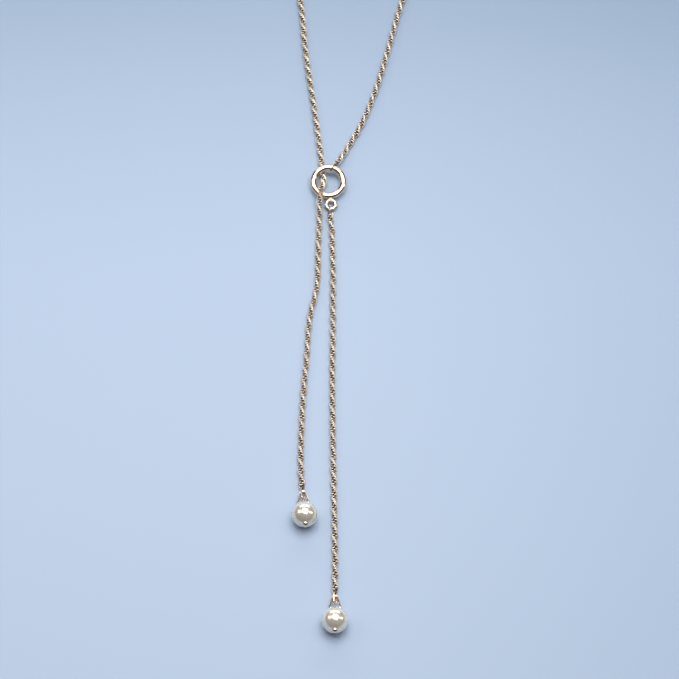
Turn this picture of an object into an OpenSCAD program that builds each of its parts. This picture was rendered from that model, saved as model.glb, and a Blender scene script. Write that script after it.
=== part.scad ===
// Lariat necklace: a chain loop that runs through a leaning slider ring, with a pearl drop on each of two tails

/* [Slider ring] */
// Outer diameter of the big ring
ring_od = 11.7; // [10.4:0.1:14]
// Thickness of the big ring's wire
ring_wire = 2.1; // [1.4:0.1:2.3]
// Angle that the ring leans at, with its top edge on the chain
ring_lean = 9; // [7:0.5:11]
// Outer diameter of the small loop soldered to the ring
loop_od = 4.1; // [3.5:0.1:4.6]
// Thickness of the small loop's wire
loop_wire = 1.15; // [0.8:0.05:1.25]
// Depth that the small loop is soldered into the ring's wire
loop_solder = 0.15; // [0.1:0.05:0.4]
// Angle of the small loop round the ring, from straight down
loop_turn = 6; // [0:1:12]

/* [Chain] */
// Width of the chain
chain_d = 2.2; // [1.9:0.1:2.4]
// Thickness of the wire of the chain's end links
link_wire = 0.5; // [0.4:0.02:0.54]
// Room that an end link leaves for the chain's last link beside what else it holds
link_room = 0.8; // [0.7:0.05:1.2]
// Width inside the end links that hold the bails
drop_link_w = 1; // [0.9:0.02:1.1]
// Length inside the end links that hold the bails
drop_link_l = 3.3; // [2.2:0.1:3.6]

/* [Pearls] */
// Diameter of a pearl
pearl_d = 8; // [7:0.5:10]
// Diameter of the hole drilled through a pearl
pearl_bore = 0.9; // [0.8:0.05:1.2]

/* [Head pins] */
// Diameter of the pin's shaft
pin_d = 0.6; // [0.4:0.05:0.7]
// Diameter of the domed head
head_d = 1.9; // [1.4:0.1:2.4]
// Height of the domed head
head_h = 0.75; // [0.5:0.05:0.9]
// Outer diameter of the pin's eye
eye_od = 1.9; // [1.7:0.1:2.1]
// Thickness of the eye's wire
eye_wire = 0.45; // [0.35:0.05:0.5]
// Angle of the pin from level, with its head raised
pin_slope = 25; // [20:1:34]

/* [Bails] */
// Width of a bail at its base, across the middle of its wire
bail_w = 3.3; // [2.9:0.1:3.9]
// Length of a bail, across the middle of its wire
bail_l = 4.2; // [4:0.1:6]
// Thickness of a bail's wire
bail_wire = 0.5; // [0.35:0.05:0.5]
// Bend radius at a bail's two lower corners, at the middle of its wire
bail_bend = 0.55; // [0.5:0.01:0.6]
// Bend radius at a bail's top, at the middle of its wire
bail_top_bend = 0.9; // [0.55:0.05:1.1]

/* [Fit] */
// Gap between pieces that rest on each other
gap = 0.15; // [0.1:0.01:0.2]
// Gap between a pearl and the pin's head and eye
seat_gap = 0.08; // [0.05:0.01:0.12]

/* [Hidden] */
gold = [0.87, 0.72, 0.55];
pearl_white = [0.93, 0.91, 0.86];
tube_sides = 8;
hoop_sides = 12;
bend_step = 15;
wire_sides = 24;
big = 20;

// The ring's place: it leans on the chain under its top edge
ring_r = (ring_od - ring_wire) / 2;
loop_r = (loop_od - loop_wire) / 2;
loop_reach = ring_od / 2 + loop_od / 2 - loop_solder;
chain_z = chain_d / 2;
under_x = -1.9;
over_x = -2.5;
under_y = sqrt(ring_r * ring_r - under_x * under_x);
over_y = -sqrt(ring_r * ring_r - over_x * over_x);
ring_z = chain_d + gap + ring_wire / 2 - under_y * sin(ring_lean);
over_z = ring_z + over_y * sin(ring_lean) + ring_wire / 2 + 2.5 * gap + chain_z;

// A point of the ring's own plane, placed in the necklace
function on_ring(x, y) = [x, y * cos(ring_lean), ring_z + y * sin(ring_lean)];
function heading(turn, dip) = [-sin(turn) * cos(dip), cos(turn) * cos(dip), sin(dip)];
// The bend radius of an end link round a held wire, where the link is turned off square to that wire by an angle
function link_r(held, off) = held / 2 / cos(off) + link_wire / 2 * (1 + tan(off)) + gap;
// How far past the wire that it holds an end link reaches, with the gap to the chain beyond it
function link_reach(held, off) = link_r(held, off) + link_room + link_wire / 2;

// Where the neck chain is linked round the big ring, and which way it leaves
neck_turn = -17;
neck_hold = on_ring(-ring_r * sin(neck_turn), ring_r * cos(neck_turn));
neck_way = -29;
neck_off = abs(neck_way - neck_turn);
neck_dip = -16;
neck_end = neck_hold + link_reach(ring_wire, neck_off) * heading(neck_way, neck_dip);

// Where the long tail is linked round the small loop, and which way it leaves
loop_mid = [loop_reach * sin(loop_turn), -loop_reach * cos(loop_turn)];
tail_turn = 14;
tail_hold = on_ring(loop_mid[0] - loop_r * sin(tail_turn), loop_mid[1] - loop_r * cos(tail_turn));
tail_way = 180;
tail_off = abs(tail_way + tail_turn - 180);
tail_end = tail_hold + link_reach(loop_wire, tail_off) * heading(tail_way, 0);

// The chain's routes, from the ring round the neck and back through the ring, and down the long tail
strand_route = concat([neck_end], [
    [5.5, 12, chain_z], [10.5, 21.5, chain_z], [16, 36.5, chain_z], [20, 51.5, chain_z], [24.5, 68.5, chain_z],
    [33.5, 92, chain_z], [48, 115, chain_z], [61, 136, chain_z], [67, 160, chain_z], [60, 184, chain_z],
    [41, 204, chain_z], [15, 211, chain_z], [-11, 204, chain_z], [-30.5, 184, chain_z], [-38, 160, chain_z],
    [-34.5, 136, chain_z], [-25, 114, chain_z], [-15, 92, chain_z], [-9.5, 68.5, chain_z], [-7.5, 48, chain_z],
    [-4.75, 28, chain_z], [-2.5, 10, chain_z]], [
    [under_x, under_y - ring_wire / 2, chain_z], [-1.6, 0.3, lerp(chain_z, over_z, 0.4)],
    [over_x, over_y, over_z],
    [-2.8, over_y - 5, lerp(chain_z, over_z, 0.3)]], [
    [-2.9, -14, chain_z], [-3.2, -22, chain_z], [-4, -39, chain_z], [-5.3, -44.5, chain_z], [-6.8, -62, chain_z],
    [-7.9, -78, chain_z], [-7.94, -104.2, chain_z]]);
long_route = concat([tail_end], [
    [0.9, -14, chain_z], [1.3, -22, chain_z], [1.5, -45, chain_z], [1.35, -70, chain_z], [1.65, -95.5, chain_z],
    [2.2, -125, chain_z], [2.2, -137.9, chain_z]]);
steps = 2;
// The point of the strand's route, inside the ring, where the neck chain becomes the short tail
split = 24 * steps;
short_turn = 5;
long_turn = 0;
drop_link_roll = 60;

function lerp(a, b, t) = a + (b - a) * t;
function unit(v) = v / norm(v);
// Slope of a route at one of its points, weighted by the length of the spans on each side
function slope(route, i) =
    let (last = len(route) - 1, before = max(i - 1, 0), after = min(i + 1, last))
    let (a = route[i] - route[before], b = route[after] - route[i])
    i == 0 ? unit(b) : i == last ? unit(a) : (a / norm(a) * norm(b) + b / norm(b) * norm(a)) / (norm(a) + norm(b));
// A point on the smooth curve between point i and the next, at a share t of the span
function between(route, i, t) =
    let (a = route[i], b = route[i + 1], h = norm(b - a), u = 1 - t)
    a * u * u * (1 + 2 * t) + b * t * t * (3 - 2 * t)
    + slope(route, i) * h * t * u * u - slope(route, i + 1) * h * t * t * u;
// The chain lies on the surface, and no part of it sinks below that
function above(p) = [p[0], p[1], max(p[2], chain_z)];
function smooth(route) = concat(
    [for (i = [0:len(route) - 2]) for (k = [0:steps - 1]) above(between(route, i, k / steps))],
    [route[len(route) - 1]]);
// The corners of the chain's outline at each point of a smooth line, with a flat side down
function outlines(line) = [for (i = [0:len(line) - 1])
    let (ahead = unit(line[min(i + 1, len(line) - 1)] - line[max(i - 1, 0)]))
    let (side = unit(cross(ahead, [0, 0, 1])), top = cross(side, ahead))
    [for (k = [0:tube_sides - 1])
        let (a = 360 * (k + 0.5) / tube_sides)
        line[i] + chain_z / cos(180 / tube_sides) * (side * cos(a) + top * sin(a))]];
function part_of(list, first, last) = [for (i = [first:last]) list[i]];

strand = outlines(smooth(strand_route));
long_strand = outlines(smooth(long_route));

// The way that a hoop's straight side faces, from a corner of one bend radius to a corner of another
function side_way(from, to, from_r, to_r) =
    let (run = to - from)
    atan2(run[1], run[0]) - acos((from_r - to_r) / norm(run));
// The outline of a hoop's wire at steps round each corner, where each corner has its own bend radius
function hoop_outlines(corners, bends, wire) =
    let (n = len(corners))
    [for (i = [0:n - 1])
        let (before = (i + n - 1) % n, after = (i + 1) % n, c = corners[i], r = bends[i])
        let (a = side_way(corners[before], c, bends[before], r), b = side_way(c, corners[after], r, bends[after]))
        let (swing = b < a ? b - a + 360 : b - a, m = ceil(swing / bend_step))
        for (j = [0:m]) let (t = a + swing * j / m)
        [for (k = [0:hoop_sides - 1])
            let (w = 360 * k / hoop_sides, out = r + wire / 2 * cos(w))
            [c[0] + out * cos(t), c[1] + out * sin(t), -wire / 2 * sin(w)]]];

// Places along a drop, as distances from the end of its chain
drop_link_bend = (drop_link_w + link_wire) / 2;
drop_link_straight = drop_link_l - drop_link_w;
eye_r = (eye_od - eye_wire) / 2;
eye_reach = pearl_d / 2 + seat_gap + eye_od / 2;
eye_z = pearl_d / 2 - eye_reach * sin(pin_slope);
apex_at = link_wire + link_room + bail_wire / 2;
bail_dip = asin((eye_z - chain_z) / bail_l);
eye_at = apex_at + bail_l * cos(bail_dip);
pearl_at = eye_at + eye_reach * cos(pin_slope);
head_ball_r = (head_d * head_d / 4 + head_h * head_h) / (2 * head_h);
head_ball_at = pearl_d / 2 + seat_gap + head_h - head_ball_r;

// The whole necklace is centred over its origin, and rests on the plane through it
corners = [for (ring = concat(strand, long_strand)) for (p = ring) p];
drop_low = pearl_at + head_ball_at * cos(pin_slope) + head_ball_r;
long_end = long_route[len(long_route) - 1];
x_low = min([for (p = corners) p[0]]);
x_high = max([for (p = corners) p[0]]);
y_high = max([for (p = corners) p[1]]);
y_low = long_end[1] - drop_low;
centre = [(x_low + x_high) / 2, (y_low + y_high) / 2, 0];

module torus(r, wire) {
    rotate_extrude($fn = 72) translate([r, 0]) circle(d = wire, $fn = wire_sides);
}

// A solid through outlines of as many points each: a tube with flat ends, or a closed hoop
module sweep(rings, closed = false) {
    n = len(rings[0]);
    m = len(rings);
    points = [for (ring = rings) for (p = ring) p];
    walls = [for (i = [0:m - (closed ? 1 : 2)]) for (k = [0:n - 1])
        let (a = i * n + k, b = i * n + (k + 1) % n, over = (i + 1) % m * n, c = over + k, d = over + (k + 1) % n)
        each [[a, c, d], [a, d, b]]];
    ends = [for (k = [1:n - 2]) each [[0, k, k + 1], [(m - 1) * n, (m - 1) * n + k + 1, (m - 1) * n + k]]];
    polyhedron(points = points, faces = closed ? walls : concat(walls, ends));
}

// An end link round a wire at a place, standing upright along the way that the chain leaves
module holding_link(place, held, off, turn, dip) {
    r = link_r(held, off);
    stretch = link_room - gap;
    translate(place - centre) rotate([0, 0, turn]) rotate([dip, 0, 0]) rotate([0, 90, 0])
        sweep(hoop_outlines([[0, stretch], [0, 0]], [r, r], link_wire), closed = true);
}

// An end link past the end of a tail, rolled about the chain's line
module drop_link() {
    r = drop_link_bend;
    far = gap + link_wire / 2 + r;
    color(gold) translate([0, 0, chain_z]) rotate([0, drop_link_roll, 0])
        sweep(hoop_outlines([[0, -far], [0, -far - drop_link_straight]], [r, r], link_wire), closed = true);
}

module neck_chain() {
    color(gold) translate(-centre) sweep(part_of(strand, 0, split));
}

module short_tail_chain() {
    color(gold) translate(-centre) sweep(part_of(strand, split, len(strand) - 1));
}

module long_tail_chain() {
    color(gold) translate(-centre) sweep(long_strand);
}

module neck_end_link() {
    color(gold) holding_link(neck_hold, ring_wire, neck_off, neck_way, neck_dip);
}

module tail_top_link() {
    color(gold) holding_link(tail_hold, loop_wire, tail_off, tail_way, 0);
}

module slider_ring() {
    color(gold) translate(-centre) translate([0, 0, ring_z]) rotate([ring_lean, 0, 0]) {
        torus(ring_r, ring_wire);
        translate(concat(loop_mid, 0)) torus(loop_r, loop_wire);
    }
}

// The places of the two drops: each starts at the end of its chain
module short_drop() {
    place = strand_route[len(strand_route) - 1];
    translate([place[0], place[1], 0] - centre) rotate([0, 0, short_turn]) children();
}

module long_drop() {
    translate([long_end[0], long_end[1], 0] - centre) rotate([0, 0, long_turn]) children();
}

// A three-cornered ring of round wire, from the pin's eye up to the chain's end link
module bail() {
    half = bail_w / 2 - bail_bend;
    rise = bail_l - bail_bend - bail_top_bend;
    bends = [bail_bend, bail_bend, bail_top_bend];
    color(gold) translate([0, -eye_at, eye_z]) rotate([-bail_dip, 0, 0]) translate([0, bail_bend, 0])
        sweep(hoop_outlines([[-half, 0], [half, 0], [0, rise]], bends, bail_wire), closed = true);
}

module rod(length, d) {
    rotate([-90, 0, 0]) cylinder(h = length, d = d, $fn = wire_sides);
}

// Moves to the middle of the pearl, with the drilled hole along Y
module pearl_place() {
    translate([0, -pearl_at, pearl_d / 2]) rotate([-pin_slope, 0, 0]) children();
}

// A pin through the pearl, with a domed head below it and an eye above
module head_pin() {
    base = pearl_d / 2 + seat_gap;
    root = base + head_h / 2;
    color(gold) pearl_place() {
        translate([0, -root, 0]) rod(root + eye_reach - eye_r, pin_d);
        translate([0, eye_reach, 0]) rotate([0, 90, 0]) torus(eye_r, eye_wire);
        intersection() {
            translate([0, -head_ball_at, 0]) sphere(r = head_ball_r, $fn = 48);
            translate([-big / 2, -base - big, -big / 2]) cube(big);
        }
    }
}

module pearl() {
    color(pearl_white) pearl_place() difference() {
        sphere(d = pearl_d, $fn = 96);
        translate([0, -pearl_d, 0]) rod(2 * pearl_d, pearl_bore);
    }
}

module short_end_link() short_drop() drop_link();
module long_end_link() long_drop() drop_link();
module short_bail() short_drop() bail();
module long_bail() long_drop() bail();
module short_head_pin() short_drop() head_pin();
module long_head_pin() long_drop() head_pin();
module short_pearl() short_drop() pearl();
module long_pearl() long_drop() pearl();

neck_chain();
short_tail_chain();
long_tail_chain();
slider_ring();
neck_end_link();
tail_top_link();
short_end_link();
long_end_link();
short_bail();
long_bail();
short_head_pin();
long_head_pin();
short_pearl();
long_pearl();
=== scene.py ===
"""Looks for the lariat necklace: rope-laid link chains, polished gold pieces and two white pearls"""
import math

import bpy
import numpy as np
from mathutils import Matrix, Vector


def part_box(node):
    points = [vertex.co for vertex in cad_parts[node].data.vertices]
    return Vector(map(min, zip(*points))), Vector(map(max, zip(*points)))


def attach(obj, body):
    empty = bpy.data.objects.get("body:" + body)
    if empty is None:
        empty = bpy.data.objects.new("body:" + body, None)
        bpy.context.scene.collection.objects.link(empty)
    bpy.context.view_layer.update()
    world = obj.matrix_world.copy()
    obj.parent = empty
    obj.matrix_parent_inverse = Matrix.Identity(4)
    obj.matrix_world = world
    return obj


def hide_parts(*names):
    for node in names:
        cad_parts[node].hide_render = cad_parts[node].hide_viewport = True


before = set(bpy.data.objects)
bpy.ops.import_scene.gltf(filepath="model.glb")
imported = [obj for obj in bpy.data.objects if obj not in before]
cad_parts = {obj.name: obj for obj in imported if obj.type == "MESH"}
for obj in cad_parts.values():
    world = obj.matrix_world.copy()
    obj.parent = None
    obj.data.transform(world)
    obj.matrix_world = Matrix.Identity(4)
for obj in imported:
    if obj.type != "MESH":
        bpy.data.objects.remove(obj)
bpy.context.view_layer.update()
scene = bpy.context.scene
MM = 0.001

# Sizes that the part's source sets, in metres
CHAIN_Z = 1.1 * MM
RING_R = 4.8 * MM
RING_WIRE = 2.1 * MM
RING_LEAN = math.radians(9)

# The chain's routes as part.scad has them, from the middle of the big ring on the surface
STRAND_MM = [
    (2.604, 6.7, 2.718), (5.5, 12, 1.1), (10.5, 21.5, 1.1), (16, 36.5, 1.1), (20, 51.5, 1.1),
    (24.5, 68.5, 1.1), (33.5, 92, 1.1), (48, 115, 1.1), (61, 136, 1.1), (67, 160, 1.1), (60, 184, 1.1),
    (41, 204, 1.1), (15, 211, 1.1), (-11, 204, 1.1), (-30.5, 184, 1.1), (-38, 160, 1.1),
    (-34.5, 136, 1.1), (-25, 114, 1.1), (-15, 92, 1.1), (-9.5, 68.5, 1.1), (-7.5, 48, 1.1),
    (-4.75, 28, 1.1), (-2.5, 10, 1.1), (-1.9, 3.358, 1.1), (-1.6, 0.3, 2.498), (-2.5, -4.098, 4.594),
    (-2.8, -9.098, 2.148), (-2.9, -14, 1.1), (-3.2, -22, 1.1), (-4, -39, 1.1), (-5.3, -44.5, 1.1),
    (-6.8, -62, 1.1), (-7.9, -78, 1.1), (-7.94, -104.2, 1.1)]
LONG_MM = [
    (0.453, -11.131, 1.281), (0.9, -14, 1.1), (1.3, -22, 1.1), (1.5, -45, 1.1), (1.35, -70, 1.1),
    (1.65, -95.5, 1.1), (2.2, -125, 1.1), (2.2, -137.9, 1.1)]
SPLIT = 24
STEPS = 40

# The way that each end of a chain points, as a turn from +Y towards -X and a rise, in degrees
NECK_WAY = (-29, -16)
TAIL_TOP_WAY = (180, 0)
SHORT_END_WAY = (185, 0)
LONG_END_WAY = (180, 0)

# The links: oval rings of wire that lean and shift to and fro across the chain, and are turned along it
LINK_OD = 1.64 * MM
LINK_WIRE = 0.32 * MM
LINK_PITCH = 0.46 * MM
LINK_LEAN = math.radians(52)
LINK_SHIFT = -0.28 * MM
LINK_STRETCH = 1.5
TAIL_TWIST = math.radians(41) / MM
NECK_TWIST = math.radians(45) / MM
LINK_TURNS = 14
LINK_SIDES = 5
ROPE_R = 1.1 * MM

# The round link between a chain and its end link, and the chain's first link, from the end of the route
JOINING_OD = 1.9 * MM
JOINING_AT = (-0.13 * MM, -0.16 * MM, -0.12 * MM)
JOINING_ROLL = math.radians(-11)
JOINING_LEAN = math.radians(9)
FIRST_AT = 0.44 * MM
FIRST_ROLL = math.radians(131)
DROP_ROLL = math.radians(30)

# The camera: the photo's angle, and where the middle of the picture lies on the surface
CAMERA_TILT = math.radians(24)
CAMERA_FOV = math.radians(14)
CAMERA_FAR = 869.7 * MM
CAMERA_AIM = (3.57 * MM, -54.35 * MM)

# The floor: its half width, how far it lies below the necklace, and its colour
FLOOR_HALF = 3
FLOOR_DROP = 0.02 * MM
FLOOR_COLOUR = (0.391, 0.485, 0.642)

# Painted shade on the floor: shares of its colour from near to far and from left to right, as place on the
# way and share.
# The two ends come first. The powers make the darker shares bluer.
FLOOR_NEAR, FLOOR_FAR = -0.2, 0.25
DEPTH_SHADES = [
    (0, 0.97), (1, 0.68), (0.13, 1), (0.3, 1), (0.39, 0.94), (0.47, 0.85), (0.54, 0.72), (0.7, 0.68)]
FLOOR_LEFT, FLOOR_RIGHT = -0.2, 0.25
WIDTH_SHADES = [(0, 0.97), (1, 0.78), (0.35, 0.99), (0.5, 0.96), (0.7, 0.82)]
SHADE_POWERS = (1.2, 1, 0.87)

# The gold: its deeper and its paler colour, and where its patches change from one to the other
POLISHED_COLOURS = ((0.78, 0.61, 0.46, 1), (0.9, 0.74, 0.58, 1))
POLISHED_PATCHES = 1.1 * MM
POLISHED_EDGES = (0.3, 0.7)
# On the links the paler patches are partly the gold's own tone and partly painted glints that stand for the
# sparkle of cut facets
LINK_COLOURS = ((0.88, 0.66, 0.46, 1), (1, 0.9, 0.77, 1))
LINK_METALLIC = 0.45
LINK_PATCHES = 0.8 * MM
LINK_EDGES = (0.36, 0.5)
GOLD_ROUGHNESS = (0.07, 0.15)
WEAR_SIZE = MM / 6
WEAR_DEPTH = 0.02 * MM

# The painted shade in the hollows between the links: where it darkens the gold, as shares of the rope's
# radius, and its colour
HOLLOW_FROM, HOLLOW_TO = 0.24, 0.42
PAINTED_HOLLOW_SHADE = (0.08, 0.035, 0.012, 1)

# The nacre: its cream and its white, and the size and depth of its clouds
PEARL_COLOURS = ((0.82, 0.74, 0.63, 1), (0.91, 0.84, 0.74, 1))
PEARL_CLOUDS = MM / 0.35
PEARL_DEPTH = 0.02 * MM

# The room's light, and each lamp: name, azimuth, elevation, distance, width, height, glow and colour
ROOM_COLOUR = (0.9, 0.93, 1, 1)
ROOM_GLOW = 0.1
DAYLIGHT = (1, 0.98, 0.94)
WARM = (1, 0.98, 0.95)
COOL = (0.97, 0.98, 1)
LAMPS = [
    ("main_window", 25, 80, 1.2, 1.05, 0.9, 5.95, DAYLIGHT),
    ("back_wall", 0, 24, 1.8, 2.4, 1, 1.7, COOL),
    ("left_panel", -80, 44, 1.2, 0.5, 0.55, 2.4, WARM),
    ("right_strip", 88, 34, 1.1, 0.16, 0.6, 4, WARM)]

ring_low, ring_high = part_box("slider_ring")
ring_y = ring_high.y - RING_R * math.cos(RING_LEAN) - RING_WIRE / 2
RING_MID = Vector(((ring_low.x + ring_high.x) / 2, ring_y, 0))


def make_camera():
    data = bpy.data.cameras.new("camera")
    data.angle = CAMERA_FOV
    data.clip_start = 0.05
    data.clip_end = 5
    camera = bpy.data.objects.new("camera", data)
    scene.collection.objects.link(camera)
    aim = RING_MID + Vector((*CAMERA_AIM, 0))
    back = Vector((0, -math.sin(CAMERA_TILT), math.cos(CAMERA_TILT)))
    camera.location = aim + back * CAMERA_FAR
    camera.rotation_euler = (CAMERA_TILT, 0, 0)
    scene.camera = camera


def heading(way):
    turn, rise = math.radians(way[0]), math.radians(way[1])
    return np.array([-math.sin(turn) * math.cos(rise), math.cos(turn) * math.cos(rise), math.sin(rise)])


def slopes(points, first, last):
    """Slope of a route at each point, weighted by the spans on each side of it, and set at its ends"""
    spans = np.diff(points, axis=0)
    size = np.linalg.norm(spans, axis=1)[:, None]
    ahead = spans / size
    middle = (ahead[:-1] * size[1:] + ahead[1:] * size[:-1]) / (size[:-1] + size[1:])
    return np.vstack([heading(first), middle, heading(last)])


def smooth_line(route, first, last):
    """The smooth line through a route, as part.scad draws it but finer, in line with its end links"""
    points = np.array(route) * MM
    slope = slopes(points, first, last)
    line = []
    for i in range(len(points) - 1):
        a, b = points[i], points[i + 1]
        h = np.linalg.norm(b - a)
        for t in np.linspace(0, 1, STEPS, endpoint=False):
            u = 1 - t
            line.append(a * u * u * (1 + 2 * t) + b * t * t * (3 - 2 * t)
                        + slope[i] * h * t * u * u - slope[i + 1] * h * t * t * u)
    line = np.array(line + [points[-1]])
    line[:, 2] = np.maximum(line[:, 2], CHAIN_Z)
    return line + np.array(RING_MID)


def measured(line):
    """Distance along a line at each of its points"""
    return np.concatenate([[0], np.cumsum(np.linalg.norm(np.diff(line, axis=0), axis=1))])


def along(line, at, far):
    """Place on a line at a distance, and the axes there: ahead, sideways and up"""
    place = np.array([np.interp(far, at, line[:, i]) for i in range(3)])
    step = LINK_PITCH / 2
    before = np.array([np.interp(far - step, at, line[:, i]) for i in range(3)])
    after = np.array([np.interp(far + step, at, line[:, i]) for i in range(3)])
    ahead = (after - before) / np.linalg.norm(after - before)
    side = np.cross(ahead, (0, 0, 1))
    side /= np.linalg.norm(side)
    return place, np.array([ahead, side, np.cross(side, ahead)])


def turned(axes, roll, lean):
    """Axes rolled about the chain's line and then leaned about their own side"""
    ahead, side, up = axes
    side, up = side * math.cos(roll) + up * math.sin(roll), up * math.cos(roll) - side * math.sin(roll)
    ahead, up = ahead * math.cos(lean) - up * math.sin(lean), up * math.cos(lean) + ahead * math.sin(lean)
    return np.array([ahead, side, up])


def link_points(od, wire, stretch):
    """Corners of a link in its own axes, a row for each step round it"""
    turn = 2 * np.pi * np.arange(LINK_TURNS) / LINK_TURNS
    across = 2 * np.pi * np.arange(LINK_SIDES) / LINK_SIDES
    out = np.stack([np.cos(turn), stretch * np.sin(turn)], axis=1)
    out /= np.linalg.norm(out, axis=1)[:, None]
    middle = (od - wire) / 2 * np.stack([stretch * np.cos(turn), np.sin(turn)], axis=1)
    flat = middle[:, None] + wire / 2 * np.cos(across)[None, :, None] * out[:, None]
    high = np.repeat(wire / 2 * np.sin(across)[None, :], LINK_TURNS, axis=0)
    return np.concatenate([flat, high[:, :, None]], axis=2).reshape(-1, 3)


def link_faces():
    faces = []
    for i in range(LINK_TURNS):
        for k in range(LINK_SIDES):
            j, m = (i + 1) % LINK_TURNS, (k + 1) % LINK_SIDES
            faces.append((i * LINK_SIDES + k, j * LINK_SIDES + k, j * LINK_SIDES + m, i * LINK_SIDES + m))
    return np.array(faces)


def mesh_piece(name, points, faces, material):
    mesh = bpy.data.meshes.new(name)
    mesh.from_pydata(points.tolist(), [], faces.tolist())
    mesh.polygons.foreach_set("use_smooth", [True] * len(mesh.polygons))
    mesh.materials.append(material)
    piece = bpy.data.objects.new(name, mesh)
    scene.collection.objects.link(piece)
    return piece


def placed(place, axes, points):
    """Points set at a place on a chain's line, with their depths for the painted shade in the hollows: 0 at
    the rope's outside, 1 in its middle
    """
    across = np.hypot(points @ axes[1], points @ axes[2])
    depth = np.clip(1 - across / ROPE_R, 0, 1)
    return np.column_stack([place + points, depth])


def joining_link(place, axes, roll):
    """The round link that goes through a chain's end link and its first link, at an end of the route"""
    axes = turned(axes, roll, 0)
    shape = link_points(JOINING_OD, LINK_WIRE, 1)
    points = np.array(JOINING_AT) @ axes + shape @ turned(axes, JOINING_ROLL, JOINING_LEAN)
    return placed(place, axes, points)


def rope(line, rolls, neck_length):
    """A rope of links that go through each other along a line, rolled at its ends to suit the end links

    The count of links is odd, so that the links at both ends lean the same way.
    """
    at = measured(line)
    run = at[-1] - 2 * FIRST_AT
    count = 2 * round(run / LINK_PITCH / 2) + 1
    first_roll = FIRST_ROLL + rolls[0]
    last_roll = math.pi - FIRST_ROLL - rolls[1]
    turning = neck_length * NECK_TWIST + (run - neck_length) * TAIL_TWIST
    spare = (last_roll - first_roll - turning + math.pi) % (2 * math.pi) - math.pi
    shape = link_points(LINK_OD, LINK_WIRE, LINK_STRETCH)
    links = []
    for k in range(count):
        far = run * k / (count - 1)
        roll = first_roll + min(far, neck_length) * NECK_TWIST + max(far - neck_length, 0) * TAIL_TWIST
        roll += spare * far / run
        lean_way = -1 if k % 2 else 1
        place, axes = along(line, at, FIRST_AT + far)
        link_axes = turned(axes, roll, lean_way * LINK_LEAN)
        links.append(placed(place, axes, lean_way * LINK_SHIFT * link_axes[1] + shape @ link_axes))
    place, axes = along(line, at, 0)
    links.insert(0, joining_link(place, axes, rolls[0]))
    place, axes = along(line, at, at[-1])
    links.append(joining_link(place, np.array([-axes[0], -axes[1], axes[2]]), rolls[1]))
    return links


def chain_piece(name, node, links, material):
    """One piece of all the links that stand for a chain"""
    faces = link_faces()
    all_faces = (faces[None] + len(links[0]) * np.arange(len(links))[:, None, None]).reshape(-1, 4)
    points = np.concatenate(links)
    piece = mesh_piece(name, points[:, :3], all_faces, material)
    # Each point's depth into the rope, from which the gold paints shade in the hollows between the links
    piece.data.attributes.new("depth", "FLOAT", "POINT").data.foreach_set("value", points[:, 3])
    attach(piece, "root")
    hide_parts(node)


def node_tree(name):
    material = bpy.data.materials.new(name)
    material.use_nodes = True
    nodes = material.node_tree.nodes
    return material, nodes, material.node_tree.links, nodes["Principled BSDF"]


def gold_material(name, colours, metallic, patches, edges):
    """Champagne gold, deeper and paler in patches of a size (on the links partly painted glints), with
    painted shade between the links, and hair-fine wear
    """
    material, nodes, links, shader = node_tree(name)
    place = nodes.new("ShaderNodeTexCoord")
    clouds = nodes.new("ShaderNodeTexNoise")
    clouds.inputs["Scale"].default_value = 1 / patches
    clouds.inputs["Detail"].default_value = 2
    links.new(place.outputs["Object"], clouds.inputs["Vector"])
    colour = nodes.new("ShaderNodeValToRGB")
    colour.color_ramp.elements[0].position = edges[0]
    colour.color_ramp.elements[0].color = colours[0]
    colour.color_ramp.elements[1].position = edges[1]
    colour.color_ramp.elements[1].color = colours[1]
    links.new(clouds.outputs["Fac"], colour.inputs["Fac"])
    # Painted shade: the gold darkens towards the rope's middle, between the links
    shade_depth = nodes.new("ShaderNodeAttribute")
    shade_depth.attribute_name = "depth"
    painted_shade = nodes.new("ShaderNodeValToRGB")
    painted_shade.color_ramp.elements[0].position = HOLLOW_FROM
    painted_shade.color_ramp.elements[0].color = (1, 1, 1, 1)
    painted_shade.color_ramp.elements[1].position = HOLLOW_TO
    painted_shade.color_ramp.elements[1].color = PAINTED_HOLLOW_SHADE
    links.new(shade_depth.outputs["Fac"], painted_shade.inputs["Fac"])
    both = nodes.new("ShaderNodeVectorMath")
    both.operation = "MULTIPLY"
    links.new(colour.outputs["Color"], both.inputs[0])
    links.new(painted_shade.outputs["Color"], both.inputs[1])
    links.new(both.outputs["Vector"], shader.inputs["Base Color"])
    rough = nodes.new("ShaderNodeMapRange")
    rough.inputs["To Min"].default_value = GOLD_ROUGHNESS[0]
    rough.inputs["To Max"].default_value = GOLD_ROUGHNESS[1]
    links.new(clouds.outputs["Fac"], rough.inputs["Value"])
    links.new(rough.outputs["Result"], shader.inputs["Roughness"])
    wear = nodes.new("ShaderNodeTexNoise")
    wear.inputs["Scale"].default_value = 1 / WEAR_SIZE
    links.new(place.outputs["Object"], wear.inputs["Vector"])
    bump = nodes.new("ShaderNodeBump")
    bump.inputs["Strength"].default_value = 0.12
    bump.inputs["Distance"].default_value = WEAR_DEPTH
    links.new(wear.outputs["Fac"], bump.inputs["Height"])
    links.new(bump.outputs["Normal"], shader.inputs["Normal"])
    shader.inputs["Metallic"].default_value = metallic
    return material


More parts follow.
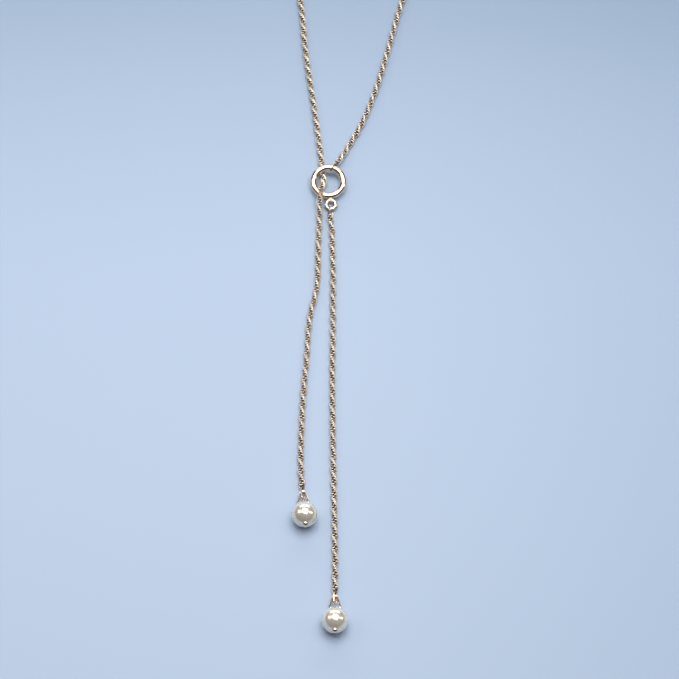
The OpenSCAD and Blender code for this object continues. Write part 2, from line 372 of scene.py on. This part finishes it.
def pearl_material():
    """White nacre: faint cream clouds under a clear gloss"""
    material, nodes, links, shader = node_tree("white_pearl")
    place = nodes.new("ShaderNodeTexCoord")
    clouds = nodes.new("ShaderNodeTexNoise")
    clouds.inputs["Scale"].default_value = 1 / PEARL_CLOUDS
    clouds.inputs["Detail"].default_value = 3
    links.new(place.outputs["Object"], clouds.inputs["Vector"])
    colour = nodes.new("ShaderNodeValToRGB")
    colour.color_ramp.elements[0].position = 0.35
    colour.color_ramp.elements[0].color = PEARL_COLOURS[0]
    colour.color_ramp.elements[1].position = 0.65
    colour.color_ramp.elements[1].color = PEARL_COLOURS[1]
    links.new(clouds.outputs["Fac"], colour.inputs["Fac"])
    links.new(colour.outputs["Color"], shader.inputs["Base Color"])
    bump = nodes.new("ShaderNodeBump")
    bump.inputs["Strength"].default_value = 0.04
    bump.inputs["Distance"].default_value = PEARL_DEPTH
    links.new(clouds.outputs["Fac"], bump.inputs["Height"])
    links.new(bump.outputs["Normal"], shader.inputs["Normal"])
    shader.inputs["Metallic"].default_value = 0.62
    shader.inputs["Roughness"].default_value = 0.2
    shader.inputs["Coat Weight"].default_value = 0.6
    shader.inputs["Coat Roughness"].default_value = 0.06
    return material


def shades(material, value, low, high, stops, colour):
    """A colour that takes its share of a given one from a value between two limits, softly between stops"""
    nodes, links = material.node_tree.nodes, material.node_tree.links
    share = nodes.new("ShaderNodeMapRange")
    share.inputs["From Min"].default_value = low
    share.inputs["From Max"].default_value = high
    links.new(value, share.inputs["Value"])
    ramp = nodes.new("ShaderNodeValToRGB")
    ramp.color_ramp.interpolation = "B_SPLINE"
    for i, (at, part) in enumerate(stops):
        stop = ramp.color_ramp.elements[i] if i < 2 else ramp.color_ramp.elements.new(at)
        stop.position = at
        stop.color = (*[part ** power * c for c, power in zip(colour, SHADE_POWERS)], 1)
    links.new(share.outputs["Result"], ramp.inputs["Fac"])
    return ramp.outputs["Color"]


def floor_material():
    """Pale blue card with a fine tooth, and painted shade that darkens it towards its far side and its right
    side
    """
    material, nodes, links, shader = node_tree("pale_blue_card")
    place = nodes.new("ShaderNodeTexCoord")
    tooth = nodes.new("ShaderNodeTexNoise")
    tooth.inputs["Scale"].default_value = 1500
    links.new(place.outputs["Object"], tooth.inputs["Vector"])
    bump = nodes.new("ShaderNodeBump")
    bump.inputs["Strength"].default_value = 0.05
    bump.inputs["Distance"].default_value = 0.0001
    links.new(tooth.outputs["Fac"], bump.inputs["Height"])
    links.new(bump.outputs["Normal"], shader.inputs["Normal"])
    axes = nodes.new("ShaderNodeSeparateXYZ")
    links.new(place.outputs["Object"], axes.inputs["Vector"])
    # Painted shade: darker towards the far side and the right side of the card
    depth = shades(material, axes.outputs["Y"], FLOOR_NEAR, FLOOR_FAR, DEPTH_SHADES, FLOOR_COLOUR)
    width = shades(material, axes.outputs["X"], FLOOR_LEFT, FLOOR_RIGHT, WIDTH_SHADES, (1, 1, 1))
    both = nodes.new("ShaderNodeVectorMath")
    both.operation = "MULTIPLY"
    links.new(depth, both.inputs[0])
    links.new(width, both.inputs[1])
    links.new(both.outputs["Vector"], shader.inputs["Base Color"])
    shader.inputs["Roughness"].default_value = 0.7
    return material


def make_floor():
    points = FLOOR_HALF * np.array([(-1, -1, 0), (1, -1, 0), (1, 1, 0), (-1, 1, 0)])
    floor = mesh_piece("floor", points, np.array([(0, 1, 2, 3)]), floor_material())
    floor.location.z = -FLOOR_DROP


def area_light(name, azimuth, elevation, far, wide, high, glow, colour):
    """A soft light aimed at the necklace, at an azimuth from +Y towards +X and as bright as its glow"""
    data = bpy.data.lights.new(name, "AREA")
    data.shape = "RECTANGLE"
    data.size = wide
    data.size_y = high
    data.energy = glow * math.pi * wide * high
    data.color = colour
    light = bpy.data.objects.new(name, data)
    a, e = math.radians(azimuth), math.radians(elevation)
    way = Vector((math.sin(a) * math.cos(e), math.cos(a) * math.cos(e), math.sin(e)))
    light.location = RING_MID + Vector((*CAMERA_AIM, 0)) + way * far
    light.rotation_euler = way.to_track_quat("Z", "Y").to_euler()
    scene.collection.objects.link(light)


def make_lights():
    world = bpy.data.worlds.new("studio")
    scene.world = world
    world.use_nodes = True
    ground = world.node_tree.nodes["Background"]
    ground.inputs["Color"].default_value = ROOM_COLOUR
    ground.inputs["Strength"].default_value = ROOM_GLOW
    for lamp in LAMPS:
        area_light(*lamp)


make_camera()
gold = gold_material("champagne_gold", POLISHED_COLOURS, 1, POLISHED_PATCHES, POLISHED_EDGES)
# The links' gold, with patches that are partly painted glints
chain_gold = gold_material("chain_gold_painted_glints", LINK_COLOURS, LINK_METALLIC, LINK_PATCHES, LINK_EDGES)
pearl_white = pearl_material()

strand = smooth_line(STRAND_MM, NECK_WAY, SHORT_END_WAY)
split_at = measured(strand)[SPLIT * STEPS]
strand_links = rope(strand, (0, DROP_ROLL), split_at)
neck_links = round(split_at / LINK_PITCH)
chain_piece("neck_links", "neck_chain", strand_links[:neck_links], chain_gold)
chain_piece("short_tail_links", "short_tail_chain", strand_links[neck_links:], chain_gold)
long_line = smooth_line(LONG_MM, TAIL_TOP_WAY, LONG_END_WAY)
chain_piece("long_tail_links", "long_tail_chain", rope(long_line, (0, DROP_ROLL), 0), chain_gold)

for name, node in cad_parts.items():
    material = pearl_white if "pearl" in name else gold
    node.data.materials.clear()
    node.data.materials.append(material)

make_floor()
make_lights()
scene.view_settings.view_transform = "Standard"
